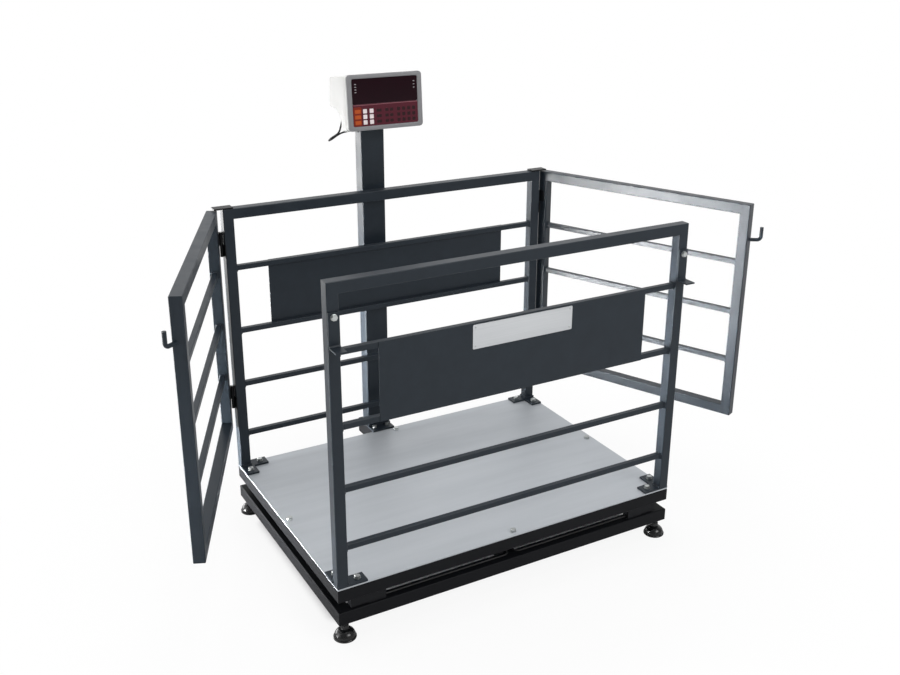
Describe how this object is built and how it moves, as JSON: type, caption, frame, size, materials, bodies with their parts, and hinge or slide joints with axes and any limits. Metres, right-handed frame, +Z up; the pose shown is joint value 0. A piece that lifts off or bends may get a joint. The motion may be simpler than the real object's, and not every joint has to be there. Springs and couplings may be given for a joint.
{
  "type": "livestock weighing crate",
  "caption": "Platform scale with railed sides, a swinging gate at each end, drop latches, levelling feet and an indicator on a column, for weighing farm animals.",
  "frame": {"origin": "on the floor under the middle of the platform", "axes": "+X along the long sides to the right as seen from the front, +Y to the rear, +Z up"},
  "size_m": [2.3344, 1.2003, 1.7425],
  "materials": {
    "frame_paint": "satin black powder coat",
    "panel_paint": "satin anthracite powder coat",
    "hinge_black": "black paint",
    "deck_steel": "bare rolled steel sheet",
    "zinc": "bright zinc plate",
    "foot_black": "moulded black",
    "cell_steel": "blackened steel",
    "box_grey": "moulded grey",
    "gland_black": "moulded black",
    "cable_black": "matt black jacket",
    "housing_white": "moulded off-white",
    "bezel_grey": "moulded grey",
    "window_dark": "tinted window",
    "keypad_red": "printed membrane",
    "board_green": "lacquered board",
    "battery_black": "moulded dark grey"
  },
  "bodies": {
    "crate": {"base_long_rails": "frame_paint", "base_side_rails": "frame_paint", "base_cross_member": "frame_paint", "foot_bosses": "zinc", "foot_lock_nuts": "foot_black", "load_cells": "cell_steel", "load_cell_base_pads": "cell_steel", "load_cell_top_pads": "cell_steel", "load_cell_bolts": "cell_steel", "junction_box": "box_grey", "junction_box_lid": "box_grey", "junction_box_glands": "gland_black", "load_cell_cables": "cable_black", "signal_cable": "cable_black", "deck_long_rails": "frame_paint", "deck_side_rails": "frame_paint", "deck_cross_members": "frame_paint", "deck_plate": "deck_steel", "deck_bolts": "zinc", "post_foot_plates": "panel_paint", "foot_plate_bolts": "zinc", "panel_posts": "panel_paint", "panel_top_rails": "panel_paint", "panel_bars": "panel_paint", "panel_sheets": "panel_paint", "post_top_plates": "hinge_black", "post_hinge_halves": "hinge_black", "hinge_pins": "zinc", "latch_bolts": "zinc", "column_brackets": "frame_paint", "column_base_plate": "panel_paint", "column_bolts": "zinc", "column_tube": "panel_paint", "column_top_plate": "panel_paint", "indicator_housing": "housing_white", "indicator_bezel": "bezel_grey", "display_window": "window_dark", "keypad": "keypad_red", "indicator_board": "board_green", "indicator_battery": "battery_black", "indicator_screws": "zinc", "cable_gland": "gland_black", "cable_grommet": "cable_black", "indicator_cable": "cable_black"},
    "left_gate": {"left_gate_stiles": "panel_paint", "left_gate_rails": "panel_paint", "left_gate_bars": "panel_paint", "left_gate_hinge_halves": "hinge_black", "left_gate_hook": "panel_paint"},
    "right_gate": {"right_gate_stiles": "panel_paint", "right_gate_rails": "panel_paint", "right_gate_bars": "panel_paint", "right_gate_hinge_halves": "hinge_black", "right_gate_hook": "panel_paint"},
    "left_latch": {"left_latch_strap": "hinge_black"},
    "right_latch": {"right_latch_strap": "hinge_black"},
    "front_left_foot": {"foot_front_left": "foot_black"},
    "front_right_foot": {"foot_front_right": "foot_black"},
    "rear_left_foot": {"foot_rear_left": "foot_black"},
    "rear_right_foot": {"foot_rear_right": "foot_black"}
  },
  "joints": [
    {"name": "left_gate_hinge", "type": "hinge", "parent": "crate", "child": "left_gate", "pos_m": [-0.7075, 0.482, 0.832], "axis": [0, 0, -1], "range_deg": [-23.5, 84]},
    {"name": "right_gate_hinge", "type": "hinge", "parent": "crate", "child": "right_gate", "pos_m": [0.7075, 0.482, 0.832], "axis": [0, 0, 1], "range_deg": [-23.5, 84]},
    {"name": "left_latch_pivot", "type": "hinge", "parent": "crate", "child": "left_latch", "pos_m": [-0.68, -0.5, 1.17], "axis": [0, 1, 0], "range_deg": [-90, 110]},
    {"name": "right_latch_pivot", "type": "hinge", "parent": "crate", "child": "right_latch", "pos_m": [0.68, -0.5, 1.17], "axis": [0, -1, 0], "range_deg": [-90, 110]},
    {"name": "front_left_foot_screw", "type": "slide", "parent": "crate", "child": "front_left_foot", "axis": [0, 0, 1], "range_m": [-0.02, 0]},
    {"name": "front_right_foot_screw", "type": "slide", "parent": "crate", "child": "front_right_foot", "axis": [0, 0, 1], "range_m": [-0.02, 0]},
    {"name": "rear_left_foot_screw", "type": "slide", "parent": "crate", "child": "rear_left_foot", "axis": [0, 0, 1], "range_m": [-0.02, 0]},
    {"name": "rear_right_foot_screw", "type": "slide", "parent": "crate", "child": "rear_right_foot", "axis": [0, 0, 1], "range_m": [-0.02, 0]}
  ]
}
